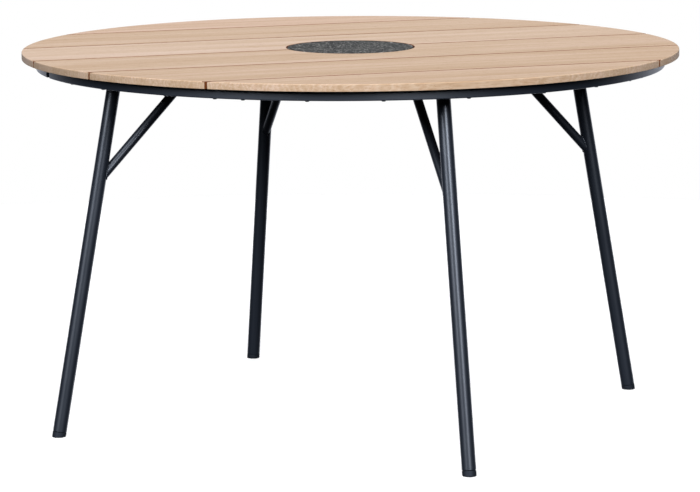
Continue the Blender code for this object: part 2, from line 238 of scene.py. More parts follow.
def new_finish(name, values):
    """A material with its node tree and its shader, at the real material's own values."""
    material = bpy.data.materials.new(name)
    material.use_nodes = True
    tree = material.node_tree
    shader = tree.nodes["Principled BSDF"]
    connect(tree, shader, values)
    return material, tree, shader


def oiled_hardwood():
    """Pale hardwood planks, planed, sanded and oiled: soft stripes along the grain and a low sheen.

    The boards differ a little. Their sides between the boards and round the stone carry painted shade: a
    darker, redder brown.
    """
    material, tree, shader = new_finish("oiled_hardwood", {
        "Base Color": linear("#D7BAA0"), "Roughness": 0.65, "IOR": 1.45, "Specular IOR Level": 0.25})
    spot = add(tree, "ShaderNodeTexCoord").outputs["Object"]
    # Each board is cut from another part of the wood, up to 9 m away, and has its own tint.
    split = add(tree, "ShaderNodeSeparateXYZ", links={0: spot})
    row = add(tree, "ShaderNodeMath", {"operation": "DIVIDE"}, {0: split.outputs["Y"], 1: PLANK_PITCH})
    board = add(tree, "ShaderNodeMath", {"operation": "FLOOR"}, {0: row.outputs[0]})
    own = add(tree, "ShaderNodeTexWhiteNoise", {"noise_dimensions": "1D"}, {"W": board.outputs[0]})
    shift = add(tree, "ShaderNodeVectorMath", {"operation": "SCALE"},
                {0: own.outputs["Color"], "Scale": 9.0})
    grown = add(tree, "ShaderNodeVectorMath", {"operation": "ADD"}, {0: spot, 1: shift.outputs[0]})

    # How long each pattern is along the grain, and how wide across it. Pores are 0.2 mm wide. They are
    # drawn 0.7 mm wide, so that they show from two steps away.
    stripe_spot, ring_spot, fibre_spot, pore_spot = (
        add(tree, "ShaderNodeMapping", links={
            "Vector": grown.outputs[0], "Scale": (1 / length, 1 / width, 1 / width)}).outputs[0]
        for length, width in ((1100 * MM, 42 * MM), (3.2, 1.0), (260 * MM, 3.2 * MM), (16 * MM, 0.7 * MM)))
    stripes = add(tree, "ShaderNodeTexNoise", links={
        "Vector": stripe_spot, "Scale": 1.0, "Detail": 3.0, "Roughness": 0.55})
    # A year's growth is 10.5 mm wide. The bands of this texture are pi / 10 apart at a scale of 1.
    rings = add(tree, "ShaderNodeTexWave", {"bands_direction": "Y"}, {
        "Vector": ring_spot, "Scale": 0.1 * math.pi / (10.472 * MM), "Distortion": 7.0, "Detail": 2.0,
        "Detail Scale": 1.4})
    fibres = add(tree, "ShaderNodeTexNoise", links={
        "Vector": fibre_spot, "Scale": 1.0, "Detail": 3.0, "Roughness": 0.6})
    pores = add(tree, "ShaderNodeTexNoise", links={"Vector": pore_spot, "Scale": 1.0, "Detail": 1.0})

    # Painted shade between the boards: their sides and the rounds along them are coloured a darker, redder
    # brown, standing in for the shade and the wood-tinted bounce light in the gaps. They are the sides
    # inside the rim, and those that don't face straight out from the middle of the top.
    facing = add(tree, "ShaderNodeNewGeometry").outputs["Normal"]
    out_way, side_way = (
        add(tree, "ShaderNodeVectorMath", {"operation": "MULTIPLY"}, {0: vector, 1: (1, 1, 0)}).outputs[0]
        for vector in (spot, facing))
    reach = add(tree, "ShaderNodeVectorMath", {"operation": "LENGTH"}, {0: out_way})
    out_way, side_way = (
        add(tree, "ShaderNodeVectorMath", {"operation": "NORMALIZE"}, {0: way}).outputs[0]
        for way in (out_way, side_way))
    outward = add(tree, "ShaderNodeVectorMath", {"operation": "DOT_PRODUCT"}, {0: out_way, 1: side_way})
    askew = add(tree, "ShaderNodeMath", {"operation": "LESS_THAN"},
                {0: outward.outputs["Value"], 1: RIM_FACING})
    within = add(tree, "ShaderNodeMath", {"operation": "LESS_THAN"},
                 {0: reach.outputs["Value"], 1: TOP_RADIUS - 2 * PLANK_TOP_ROUND})
    inside = add(tree, "ShaderNodeMath", {"operation": "MAXIMUM"},
                 {0: askew.outputs[0], 1: within.outputs[0]})
    tilt = add(tree, "ShaderNodeSeparateXYZ", links={0: facing})
    level = add(tree, "ShaderNodeMath", {"operation": "ABSOLUTE"}, {0: tilt.outputs["Z"]})
    # The painted shade's colour: sides and rounds that aren't level turn dark reddish brown.
    gap_shade = add(tree, "ShaderNodeValToRGB", links={"Fac": level.outputs[0]},
               stops=((0.94, "#84501E"), (0.9999, "#FFFFFF")))
    gap_shade_tint = add(tree, "ShaderNodeMix", {"data_type": "RGBA"},
                    {"Factor": inside.outputs[0], 6: (1, 1, 1, 1), 7: gap_shade.outputs["Color"]})

    # The stripes' colour is tinted by the growth rings, the fibres, the pores and the board, and darkened by
    # the painted shade between the boards.
    colour, *tints = (
        add(tree, "ShaderNodeValToRGB", links={"Fac": pattern}, stops=stops).outputs["Color"]
        for pattern, stops in (
            (stripes.outputs[0], ((0.30, "#C3AE99"), (0.50, "#CBB8A6"), (0.70, "#D3C1B4"))),
            (rings.outputs[0], ((0.0, "#F3EDE6"), (0.6, "#FFFFFF"), (1.0, "#F7F0EA"))),
            (fibres.outputs[0], ((0.32, "#ECE4DB"), (0.60, "#FFFFFF"))),
            (pores.outputs[0], ((0.28, "#CDBBA6"), (0.36, "#FFFFFF"))),
            (own.outputs["Value"], ((0.0, "#F4EEE6"), (0.5, "#FFFFFF"), (1.0, "#FBF3F0")))))
    for tint in (*tints, gap_shade_tint.outputs[2]):
        colour = add(tree, "ShaderNodeMix", {"data_type": "RGBA", "blend_type": "MULTIPLY"},
                     {"Factor": 1.0, 6: colour, 7: tint}).outputs[2]
    relief = add(tree, "ShaderNodeBump", links={
        "Strength": 0.35, "Distance": 0.15 * MM, "Height": fibres.outputs[0]})
    connect(tree, shader, {"Base Color": colour, "Normal": relief.outputs[0]})
    return material


def honed_granite():
    """Dark grey granite, honed: close grains of black, grey and a few pale ones, and a dull shine."""
    material, tree, shader = new_finish("honed_granite", {
        "Base Color": linear("#3A3C3A"), "Roughness": 0.7, "IOR": 1.54, "Specular IOR Level": 0.4})
    spot = add(tree, "ShaderNodeTexCoord").outputs["Object"]
    # The grains are 2.9 mm wide, with outlines that waver each 2.4 mm. Clouds of 22 mm lie over them.
    waver = add(tree, "ShaderNodeTexNoise", links={
        "Vector": spot, "Scale": 1 / (2.38095 * MM), "Detail": 2.0})
    bend = add(tree, "ShaderNodeVectorMath", {"operation": "SCALE"},
               {0: waver.outputs["Color"], "Scale": 1.6 * MM})
    bent = add(tree, "ShaderNodeVectorMath", {"operation": "ADD"}, {0: spot, 1: bend.outputs[0]})
    grains = add(tree, "ShaderNodeTexVoronoi", links={"Vector": bent.outputs[0], "Scale": 1 / (2.9 * MM)})
    kind = add(tree, "ShaderNodeSeparateColor", links={0: grains.outputs["Color"]})
    minerals = add(tree, "ShaderNodeValToRGB", links={"Fac": kind.outputs["Red"]}, stops=(
        (0.0, "#050605"), (0.38, "#101110"), (0.44, "#1A1B1A"), (0.66, "#242523"), (0.76, "#50504D"),
        (0.86, "#666662"), (0.94, "#AEADA8")))
    clouds = add(tree, "ShaderNodeTexNoise", links={
        "Vector": spot, "Scale": 1 / (22.2222 * MM), "Detail": 3.0})
    cloud_tint = add(tree, "ShaderNodeValToRGB", links={"Fac": clouds.outputs[0]},
                     stops=((0.35, "#BFC2C3"), (0.65, "#F4F4F4")))
    colour = add(tree, "ShaderNodeMix", {"data_type": "RGBA", "blend_type": "MULTIPLY"},
                 {"Factor": 1.0, 6: minerals.outputs["Color"], 7: cloud_tint.outputs["Color"]})
    gloss = add(tree, "ShaderNodeMapRange", links={
        "Value": kind.outputs["Green"], "To Min": 0.62, "To Max": 0.78})
    relief = add(tree, "ShaderNodeBump", links={
        "Strength": 0.3, "Distance": 0.05 * MM, "Height": grains.outputs["Distance"]})
    connect(tree, shader, {"Base Color": colour.outputs[2], "Roughness": gloss.outputs[0],
                           "Normal": relief.outputs[0]})
    return material


def powder_coat():
    """Steel with a baked anthracite powder coat: blue-black, satin, with a fine orange peel."""
    material, tree, shader = new_finish("powder_coated_steel", {
        "Base Color": linear("#0F131A"), "Roughness": 0.38, "IOR": 1.5,
        "Specular Tint": linear("#E4EEFF")})
    spot = add(tree, "ShaderNodeTexCoord").outputs["Object"]
    # The peel's waves are about 1.5 mm long and a few hundredths of a millimetre high, and the gloss
    # changes in patches of 71 mm.
    peel = add(tree, "ShaderNodeTexNoise", links={"Vector": spot, "Scale": 1 / (1.5 * MM), "Detail": 2.0})
    relief = add(tree, "ShaderNodeBump", links={
        "Strength": 0.25, "Distance": 0.04 * MM, "Height": peel.outputs[0]})
    patches = add(tree, "ShaderNodeTexNoise", links={
        "Vector": spot, "Scale": 1 / (71.4286 * MM), "Detail": 3.0})
    gloss = add(tree, "ShaderNodeMapRange", links={
        "Value": patches.outputs[0], "To Min": 0.34, "To Max": 0.42})
    connect(tree, shader, {"Roughness": gloss.outputs[0], "Normal": relief.outputs[0]})
    return material


def moulded_nylon():
    """Black nylon, injection moulded in a spark-eroded tool: matt, with a fine even grain."""
    material, tree, shader = new_finish("moulded_black_nylon", {
        "Base Color": linear("#0E1116"), "Roughness": 0.6, "IOR": 1.53, "Specular IOR Level": 0.2,
        "Specular Tint": linear("#D4E2FF")})
    spot = add(tree, "ShaderNodeTexCoord").outputs["Object"]
    grain = add(tree, "ShaderNodeTexNoise", links={"Vector": spot, "Scale": 1 / (0.5 * MM), "Detail": 1.0})
    relief = add(tree, "ShaderNodeBump", links={
        "Strength": 0.3, "Distance": 0.03 * MM, "Height": grain.outputs[0]})
    gloss = add(tree, "ShaderNodeMapRange", links={
        "Value": grain.outputs[0], "To Min": 0.54, "To Max": 0.68})
    connect(tree, shader, {"Roughness": gloss.outputs[0], "Normal": relief.outputs[0]})
    return material


def zinc_plate():
    """Bright zinc on rolled steel: a cool grey metal with cloudy, slightly uneven gloss."""
    material, tree, shader = new_finish("zinc_plated_steel", {
        "Base Color": linear("#C3C6C9"), "Roughness": 0.32, "Metallic": 1.0})
    spot = add(tree, "ShaderNodeTexCoord").outputs["Object"]
    clouds = add(tree, "ShaderNodeTexNoise", links={"Vector": spot, "Scale": 1 / (3 * MM), "Detail": 3.0})
    gloss = add(tree, "ShaderNodeMapRange", links={
        "Value": clouds.outputs[0], "To Min": 0.24, "To Max": 0.42})
    tint = add(tree, "ShaderNodeValToRGB", links={"Fac": clouds.outputs[0]},
               stops=((0.35, "#B4B8BC"), (0.65, "#CDCFD0")))
    connect(tree, shader, {"Base Color": tint.outputs["Color"], "Roughness": gloss.outputs[0]})
    return material


def blackened_steel():
    """Screws of blackened stainless steel: nearly black, with a little metal in the shine."""
    material, tree, shader = new_finish("blackened_steel", {
        "Base Color": linear("#26282B"), "Roughness": 0.42, "Metallic": 0.6})
    spot = add(tree, "ShaderNodeTexCoord").outputs["Object"]
    wear = add(tree, "ShaderNodeTexNoise", links={"Vector": spot, "Scale": 1 / (1.2 * MM), "Detail": 2.0})
    tint = add(tree, "ShaderNodeValToRGB", links={"Fac": wear.outputs[0]},
               stops=((0.35, "#1C1D20"), (0.75, "#33363A")))
    connect(tree, shader, {"Base Color": tint.outputs["Color"]})
    return material


WOOD = oiled_hardwood()
GRANITE = honed_granite()
COAT = powder_coat()
NYLON = moulded_nylon()
ZINC = zinc_plate()
BLACK_STEEL = blackened_steel()
# The soft boxes light the frame only, and a softer light of its own lights the planks and the stone, so
# that the top shows no glare from any side.
FRAME_PIECES = bpy.data.collections.new("frame_pieces")
TOP_PIECES = bpy.data.collections.new("top_pieces")


def new_mesh(name, bm):
    """A closed mesh from a bmesh, with its faces out and its soft edges shaded smooth."""
    bmesh.ops.recalc_face_normals(bm, faces=bm.faces)
    mesh = bpy.data.meshes.new(name)
    bm.to_mesh(mesh)
    bm.free()
    mesh.shade_smooth()
    mesh.set_sharp_from_angle(angle=SHARP_ANGLE)
    return mesh


def place(name, data, material, body, *replaced):
    """Puts a finished piece on its body, in its finish, in place of the solids that it stands for."""
    piece = bpy.data.objects.new(name, data)
    bpy.context.scene.collection.objects.link(piece)
    (TOP_PIECES if material in (WOOD, GRANITE) else FRAME_PIECES).objects.link(piece)
    data.materials.append(material)
    if isinstance(data, bpy.types.Mesh):
        # Flat faces keep their own normals, and only the rounds between them are shaded soft.
        piece.modifiers.new("even_shading", "WEIGHTED_NORMAL").keep_sharp = True
    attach(piece, body)
    for node in replaced:
        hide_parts(node)
    return piece


def turn(angle):
    """A turn round the table's middle."""
    return Matrix.Rotation(angle, 4, "Z")


def arc(radius, start, end, step):
    """Points on a circle round the origin, from one angle to another."""
    count = max(1, math.ceil(abs(end - start) / step))
    for number in range(count + 1):
        angle = start + (end - start) * number / count
        yield Vector((radius * math.cos(angle), radius * math.sin(angle)))


def prism(outline, low, high):
    """An upright solid over a flat outline."""
    bm = bmesh.new()
    base = [bm.verts.new((point.x, point.y, low)) for point in outline]
    top = [bm.verts.new((point.x, point.y, high)) for point in outline]
    bm.faces.new(base[::-1])
    bm.faces.new(top)
    for first, second, above, beside in zip(base, base[1:] + base[:1], top[1:] + top[:1], top):
        bm.faces.new((first, second, above, beside))
    return bm


def round_edges(bm, chosen, width, segments):
    """Rounds the edges of a bmesh that the test picks."""
    bm.normal_update()
    edges = [edge for edge in bm.edges if chosen(edge)]
    bmesh.ops.bevel(bm, geom=edges, offset=width, segments=segments, profile=0.5, affect="EDGES",
                    clamp_overlap=True)
    # Rounding leaves the order of the points and faces open. They go back in an order that is the same
    # in each run.
    verts = sorted(bm.verts, key=lambda vert: [round(value / SAME_POINT, 1) for value in vert.co])
    numbers = {vert: number for number, vert in enumerate(verts)}
    points = [vert.co.copy() for vert in verts]
    outlines = []
    for face in bm.faces:
        corners = [numbers[vert] for vert in face.verts]
        first = corners.index(min(corners))
        outlines.append(corners[first:] + corners[:first])
    bm.clear()
    made = [bm.verts.new(point) for point in points]
    for outline in sorted(outlines):
        bm.faces.new([made[number] for number in outline])


def quarter(radius, height, width, way):
    """A rounded corner as (radius, height) points, from a flat end to the side. Up is 1, down is -1."""
    for tilt in (0, math.pi / 6, math.pi / 3, math.pi / 2):
        yield radius - width * (1 - math.sin(tilt)), height + way * width * (1 - math.cos(tilt))


def at_height(height):
    """A test for edges that lie at a height."""
    def level(edge):
        return all(abs(vert.co.z - height) < SAME_POINT for vert in edge.verts)
    return level


def plank_outline(low_y, high_y, hole):
    """A plank behind the middle seam, seen from above: rim arcs at its ends, and the stone's hole."""
    low_angle = math.asin(low_y / TOP_RADIUS)
    outline = []
    if low_y < hole:
        hole_angle = math.asin(low_y / hole)
        outline += arc(hole, math.pi - hole_angle, hole_angle, 2 * RIM_STEP)
    if high_y < TOP_RADIUS:
        high_angle = math.asin(high_y / TOP_RADIUS)
        outline += arc(TOP_RADIUS, low_angle, high_angle, RIM_STEP)
        outline += arc(TOP_RADIUS, math.pi - high_angle, math.pi - low_angle, RIM_STEP)
    else:
        outline += arc(TOP_RADIUS, low_angle, math.pi - low_angle, RIM_STEP)
    return outline


def make_planks():
    """Each plank's Y range comes from its solid. The front planks mirror the back ones."""
    for number in range(1, 7):
        low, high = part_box(f"plank_{number}")
        side = 1 if number > 3 else -1
        near, far = sorted((low.y * side, high.y * side))
        # The rim itself is the far side of the first and the last plank.
        if far > TOP_RADIUS - MM:
            far = TOP_RADIUS
        outline = plank_outline(near, far, STONE_RADIUS + STONE_GAP)
        bm = prism([Vector((point.x, point.y * side)) for point in outline], TOP_LOW, TOP_HIGH)
        round_edges(bm, at_height(TOP_HIGH), PLANK_TOP_ROUND, 3)
        round_edges(bm, at_height(TOP_LOW), PLANK_BOTTOM_ROUND, 2)
        name = f"finished_plank_{number}"
        place(name, new_mesh(name, bm), WOOD, "table", f"plank_{number}")


def make_stone():
    """The loose stone disc, with a softened edge all round."""
    low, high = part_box("stone_disc")
    outline = list(arc(STONE_RADIUS, 0.0, 2 * math.pi, 2 * math.pi / STONE_STEPS))[:-1]
    bm = prism(outline, low.z, high.z)
    round_edges(bm, at_height(high.z), STONE_ROUND, 3)
    round_edges(bm, at_height(low.z), STONE_ROUND, 2)
    place("honed_stone", new_mesh("honed_stone", bm), GRANITE, "stone", "stone_disc")


def rounded_section(low, high, base, top):
    """The outside of a square tube, as (across, height) points round it."""
    points = []
    for across, height, start in ((high, top, 0), (low, top, 1), (low, base, 2), (high, base, 3)):
        middle = Vector((across + (-TUBE_CORNER if across == high else TUBE_CORNER),
                         height + (-TUBE_CORNER if height == top else TUBE_CORNER)))
        first = start * math.pi / 2
        points += [middle + spoke for spoke in arc(TUBE_CORNER, first, first + math.pi / 2, math.pi / 8)]
    return points


def skin(rings, closed):
    """A surface through rings of points. It closes on itself, or it has a flat cap at each end."""
    bm = bmesh.new()
    rows = [[bm.verts.new(point) for point in ring] for ring in rings]
    pairs = list(zip(rows, rows[1:]))
    if closed:
        pairs.append((rows[-1], rows[0]))
    else:
        bm.faces.new(rows[0])
        bm.faces.new(rows[-1][::-1])
    for row, following in pairs:
        for i in range(len(row)):
            j = (i + 1) % len(row)
            bm.faces.new((row[i], row[j], following[j], following[i]))
    return bm


def make_ring(half, angle):
    """Half of the ring. Its ends lie on a line beside the middle seam, with a drain hole near each."""
    section = rounded_section(RING_INNER, RING_OUTER, BAR_LOW, BAR_HIGH)
    rings = []
    for step in range(RING_STEPS + 1):
        ring = []
        for radius, height in section:
            start = math.asin(HALF_GAP / radius)
            along = -start - (math.pi - 2 * start) * step / RING_STEPS
            ring.append(Vector((radius * math.cos(along), radius * math.sin(along), height)))
        rings.append(ring)
    name = f"finished_ring_{half}"
    mesh = new_mesh(name, skin(rings, closed=False))
    mesh.transform(turn(angle))
    ring = place(name, mesh, COAT, "table", f"ring_half_{half}")
    drains = bmesh.new()
    radius = (RING_INNER + RING_OUTER) / 2
    for side in (-1, 1):
        spot = Vector((side * radius * math.cos(DRAIN_ANGLE), -radius * math.sin(DRAIN_ANGLE), BAR_LOW))
        bmesh.ops.create_cone(drains, cap_ends=True, segments=DRAIN_STEPS, radius1=DRAIN_RADIUS,
                              radius2=DRAIN_RADIUS, depth=2 * DRAIN_DEPTH,
                              matrix=turn(angle) @ Matrix.Translation(spot))
    cut_or_join(ring, drains)


def cut_or_join(piece, bm, operation="DIFFERENCE"):
    """Takes a shape out of a piece, or joins it on."""
    mesh = bpy.data.meshes.new("cutter")
    bm.to_mesh(mesh)
    bm.free()
    cutter = bpy.data.objects.new("cutter", mesh)
    bpy.context.scene.collection.objects.link(cutter)
    cut = piece.modifiers.new("cut", "BOOLEAN")
    cut.operation = operation
    cut.solver = "EXACT"
    cut.object = cutter
    bpy.context.view_layer.update()
    shaped = bpy.data.meshes.new_from_object(piece.evaluated_get(bpy.context.evaluated_depsgraph_get()))
    piece.modifiers.remove(cut)
    piece.data = shaped
    bpy.data.objects.remove(cutter)


def carved(name, bm, tool, operation="DIFFERENCE"):
    """A mesh from one shape with another one taken out or joined on."""
    piece = bpy.data.objects.new(name, new_mesh(name, bm))
    bpy.context.scene.collection.objects.link(piece)
    cut_or_join(piece, tool, operation)
    mesh = piece.data
    bpy.data.objects.remove(piece)
    return mesh


def circle_points(middle, across, aside, radius, steps=TUBE_STEPS):
    """Points of a circle, by their angle from one direction towards another."""
    for step in range(steps):
        angle = 2 * math.pi * step / steps
        yield middle + across * (radius * math.cos(angle)) + aside * (radius * math.sin(angle))


def leg_ring(radius, height, steps=TUBE_STEPS):
    """A circle round the right-hand leg's axis, at a height along it."""
    return list(circle_points(BALL + LEG_UP * height, ASIDE.cross(LEG_UP), ASIDE, radius, steps))


def to_height(points, direction, height):
    """Points moved along a direction to a height over the floor."""
    return [point + direction * ((height - point.z) / direction.z) for point in points]


def from_leg(points, direction):
    """Points moved along a direction out to the round side of the leg tube."""
    way = direction - LEG_UP * direction.dot(LEG_UP)
    moved = []
    for point in points:
        # Seen along the leg, the point goes along a line until it is on the tube's circle.
        across = (point - BALL) - LEG_UP * (point - BALL).dot(LEG_UP)
        a, b = way.dot(way), across.dot(way)
        c = across.dot(across) - (LEG_RADIUS + CLEAR) ** 2
        moved.append(point + direction * ((math.sqrt(b * b - a * c) - b) / a))
    return moved


def bead(curve, points, cyclic):
    """A weld bead along a path: a thin tube with the ripples that a welder's hand leaves."""
    ends = points + points[:1] if cyclic else points
    lengths = [(second - first).length for first, second in zip(ends, ends[1:])]
    total = sum(lengths)
    count = max(2, round(total / BEAD_RIPPLE)) * BEAD_POINTS_IN_RIPPLE
    spline = curve.splines.new("POLY")
    spline.points.add((count if cyclic else count + 1) - 1)
    spline.use_cyclic_u = cyclic
    piece, passed = 0, 0.0
    for number, point in enumerate(spline.points):
        target = total * number / count
        while piece < len(lengths) - 1 and passed + lengths[piece] < target:
            passed += lengths[piece]
            piece += 1
        here = ends[piece].lerp(ends[piece + 1], min(1.0, (target - passed) / lengths[piece]))
        point.co = (*here, 1.0)
        point.radius = 1 + BEAD_SWELL * math.cos(2 * math.pi * number / BEAD_POINTS_IN_RIPPLE)


def new_beads(name):
    """An empty curve that gives its paths the thickness of a weld bead."""
    curve = bpy.data.curves.new(name, "CURVE")
    curve.dimensions = "3D"
    curve.bevel_depth = BEAD_RADIUS
    curve.bevel_resolution = 3
    curve.use_fill_caps = True
    return curve


def make_leg(side, angle):
    """A leg tube and its brace, with the beads that join them to each other and to the plate."""
    inner = LEG_RADIUS - LEG_WALL
    rings = [leg_ring(*point) for point in quarter(LEG_RADIUS, TUBE_START, LEG_END_ROUND, 1)]
    leg_rim = to_height(leg_ring(LEG_RADIUS, TUBE_START), LEG_UP, LEG_TOP)
    rings += [leg_rim, to_height(leg_ring(inner, TUBE_START), LEG_UP, LEG_TOP), leg_ring(inner, TUBE_START)]
    name = f"finished_leg_{side}"
    mesh = new_mesh(name, skin(rings, closed=True))
    mesh.transform(turn(angle))
    place(name, mesh, COAT, "table", f"leg_tube_{side}")

    foot = BALL + LEG_UP * ((LEG_TOP - BRACE_DROP - BALL.z) / LEG_UP.z)
    head = Vector((BRACE_TOP_PLACE, 0, LEG_TOP))
    way = (head - foot).normalized()
    outside = list(circle_points(foot, ASIDE.cross(way), ASIDE, BRACE_RADIUS))
    inside = list(circle_points(foot, ASIDE.cross(way), ASIDE, BRACE_RADIUS - BRACE_WALL))
    saddle, brace_rim = from_leg(outside, way), to_height(outside, way, LEG_TOP)
    rings_inside = [to_height(inside, way, LEG_TOP), from_leg(inside, way)]
    name = f"finished_brace_{side}"
    mesh = new_mesh(name, skin([saddle, brace_rim] + rings_inside, closed=True))
    mesh.transform(turn(angle))
    place(name, mesh, COAT, "table", f"brace_{side}")

    welds = new_beads(f"leg_welds_{side}")
    for path in (leg_rim, brace_rim, saddle):
        bead(welds, [turn(angle) @ point for point in path], cyclic=True)
    place(f"leg_welds_{side}", welds, COAT, "table")


def make_frame_welds(half, angle):
    """Beads down the sides and along the underside of each bar's end."""
    welds = new_beads(f"frame_welds_{half}")
    top = BAR_HIGH - BEAD_RADIUS

    def round_end(first, second):
        """A bead round three sides of a bar, between two of its lower corners."""
        path = [Vector((*first, top)), Vector((*first, BAR_LOW)), Vector((*second, BAR_LOW)),
                Vector((*second, top))]
        bead(welds, [turn(angle) @ point for point in path], cyclic=False)

    far = -HALF_GAP - BAR_WIDTH
    for side in (-1, 1):
        ends = [(side * math.sqrt(RING_INNER ** 2 - y * y), y) for y in (-HALF_GAP, far)]
        round_end(*ends)
        for middle in (side * BAR_OFFSET, side * SIDE_BEAM_PLACE):
            edges = (middle - BAR_WIDTH / 2, middle + BAR_WIDTH / 2)
            round_end(*[(x, -math.sqrt(RING_INNER ** 2 - x * x)) for x in edges])
            round_end(*[(x, far) for x in edges])
    place(f"frame_welds_{half}", welds, COAT, "table")


def screw_head():
    """A pan head, upside down under its bar, with a hex socket."""
    profile = [(SCREW_RADIUS, 0.0)]
    for step in range(SCREW_CROWN_STEPS + 1):
        tilt = 0.5 * math.pi * step / SCREW_CROWN_STEPS
        profile.append((SCREW_RADIUS * (SCREW_FLAT_END + (1 - SCREW_FLAT_END) * math.cos(tilt)),
                        -SCREW_HEIGHT * (SCREW_STRAIGHT_SIDE + (1 - SCREW_STRAIGHT_SIDE) * math.sin(tilt))))
    rings = [list(circle_points(Vector((0, 0, height)), ACROSS, ASIDE, radius, SCREW_STEPS))
             for radius, height in profile]
    socket = bmesh.new()
    bmesh.ops.create_cone(socket, cap_ends=True, segments=6, radius1=SOCKET_FLATS / math.sqrt(3),
                          radius2=SOCKET_FLATS / math.sqrt(3), depth=2 * SOCKET_DEPTH,
                          matrix=Matrix.Translation((0, 0, -SCREW_HEIGHT)))
    return carved("screw_head", skin(rings, closed=False), socket)


def make_screws(half, angle, head):
    """The screws that hold the planks, put in from below through the ring and the bars."""
    middle = (RING_INNER + RING_OUTER) / 2
    spots = []
    for from_front in RING_SCREW_ANGLES:
        for side in ((-1, 1) if from_front else (1,)):
            way = math.radians(from_front) * side
            spots.append((middle * math.sin(way), -middle * math.cos(way)))
    for side in (-1, 1):
        spots += [(side * BAR_OFFSET, -spot) for spot in BEAM_SCREW_PLACES]
        spots += [(side * SIDE_BEAM_PLACE, -spot) for spot in SIDE_SCREW_PLACES]
        spots += [(side * spot, -BAR_OFFSET) for spot in JOINT_SCREW_PLACES]
    bm = bmesh.new()
    for spot in spots:
        before = len(bm.verts)
        bm.from_mesh(head)
        bm.verts.ensure_lookup_table()
        bmesh.ops.translate(bm, vec=(*spot, BAR_LOW), verts=bm.verts[before:])
    name = f"plank_screws_{half}"
    mesh = new_mesh(name, bm)
    mesh.transform(turn(angle))
    place(name, mesh, BLACK_STEEL, "table")


def ball_profile(radius, start, end, steps):
    """Part of a ball as (radius, height) points, between two angles from the leg's upward direction."""
    for step in range(steps + 1):
        tilt = start + (end - start) * step / steps
        yield radius * math.sin(tilt), radius * math.cos(tilt)


def plug_mesh():
    """The plug, flush with the leg's end, with its bore and the room for the stud's hex."""
    body = LEG_RADIUS - LEG_WALL - CLEAR
    room = HEX_FLATS / math.sqrt(3) + 2 * CLEAR
    roof = PAD_POCKET_START + HEX_HEIGHT + 2 * CLEAR
    profile = list(quarter(body, TUBE_START, PLUG_ROUND, 1))
    profile += [(body, PLUG_TOP), (BORE_RADIUS, PLUG_TOP), (BORE_RADIUS, roof), (room, roof),
                (room, TUBE_START)]
    return new_mesh("plug", skin([leg_ring(*point) for point in profile], closed=True))


def pad_mesh():
    """The pad, round the leg's line and flat for the floor, with a pocket for the hex and the ball."""
    rings = [to_height(leg_ring(radius, 0), LEG_UP, height)
             for radius, height in quarter(LEG_RADIUS, 0.0, PAD_ROUND, 1)]
    pocket = LEG_RADIUS - PAD_RIM_WIDTH
    socket = BALL_RADIUS + CLEAR
    profile = list(quarter(LEG_RADIUS, PAD_TOP, PAD_TOP_ROUND, -1))[::-1]
    profile += [(pocket, PAD_TOP), (pocket, PAD_POCKET_START)]
    profile += ball_profile(socket, math.acos(PAD_POCKET_START / socket), BALL_END, SOCKET_STEPS)
    rings += [leg_ring(*point) for point in profile]
    return new_mesh("pad", skin(rings, closed=False))


def stud_mesh():
    """The stud: a ball, a thin neck, a hex and an M8 thread."""
    hex_start = PAD_POCKET_START + CLEAR
    hex_end = hex_start + HEX_HEIGHT
    middle = (hex_start + hex_end) / 2
    neck = math.asin(NECK_RADIUS / BALL_RADIUS)
    profile = [*ball_profile(BALL_RADIUS, BALL_END, neck, BALL_STEPS), (NECK_RADIUS, middle)]
    rings = [leg_ring(*point, THREAD_STEPS) for point in profile]
    rows = round((STUD_TOP - middle) / THREAD_PITCH * THREAD_ROWS_IN_PITCH)
    for row in range(rows + 1):
        height = middle + (STUD_TOP - middle) * row / rows
        ring = []
        for step, point in enumerate(leg_ring(THREAD_RADIUS, height, THREAD_STEPS)):
            phase = (height / THREAD_PITCH - step / THREAD_STEPS) % 1
            share = (abs(phase - 0.5) - THREAD_FLAT / 2) / (0.5 - THREAD_FLAT)
            depth = THREAD_DEPTH * min(1.0, max(0.0, share))
            # The thread runs out in a short point at its end.
            depth = max(depth, THREAD_DEPTH + height - STUD_TOP)
            ring.append(point.lerp(BALL + LEG_UP * height, depth / THREAD_RADIUS))
        rings.append(ring)
    corner = HEX_FLATS / math.sqrt(3)
    profile = [(corner - HEX_CHAMFER, hex_start), (corner, hex_start + HEX_CHAMFER / 2),
               (corner, hex_end - HEX_CHAMFER / 2), (corner - HEX_CHAMFER, hex_end)]
    hexagon = skin([leg_ring(*point, 6) for point in profile], closed=False)
    return carved("stud", skin(rings, closed=False), hexagon, "UNION")


def make_feet():
    """The plug in each tube's end, its stud and its pad, drawn at the right and turned into place."""
    kinds = (("plug", plug_mesh(), NYLON, "leg_plug", "table"),
             ("stud", stud_mesh(), ZINC, "levelling_stud", "stud_{}"),
             ("pad", pad_mesh(), NYLON, "foot_pad", "pad_{}"))
    for side, angle in SIDES.items():
        for name, mesh, material, node, body in kinds:
            own = mesh.copy()
            own.transform(turn(angle))
            place(f"finished_{name}_{side}", own, material, body.format(side), f"{node}_{side}")


def make_floor():
    """A plain white floor, which is seen and takes shadows. The dark frame reflects the room and not it."""
    mesh = bpy.data.meshes.new("floor")
    outline = [(*point, 0.0) for point in arc(FLOOR_RADIUS, 0.0, 2 * math.pi, math.radians(3))][:-1]
    mesh.from_pydata(outline, [], [range(len(outline))])
    floor = bpy.data.objects.new("floor", mesh)
    bpy.context.scene.collection.objects.link(floor)
    material, _, _ = new_finish("white_floor", {
        "Base Color": linear("#FAFAFA"), "Roughness": 0.9, "Specular IOR Level": 0.0})
    mesh.materials.append(material)
    floor.visible_glossy = False
    floor.visible_diffuse = False
    return floor


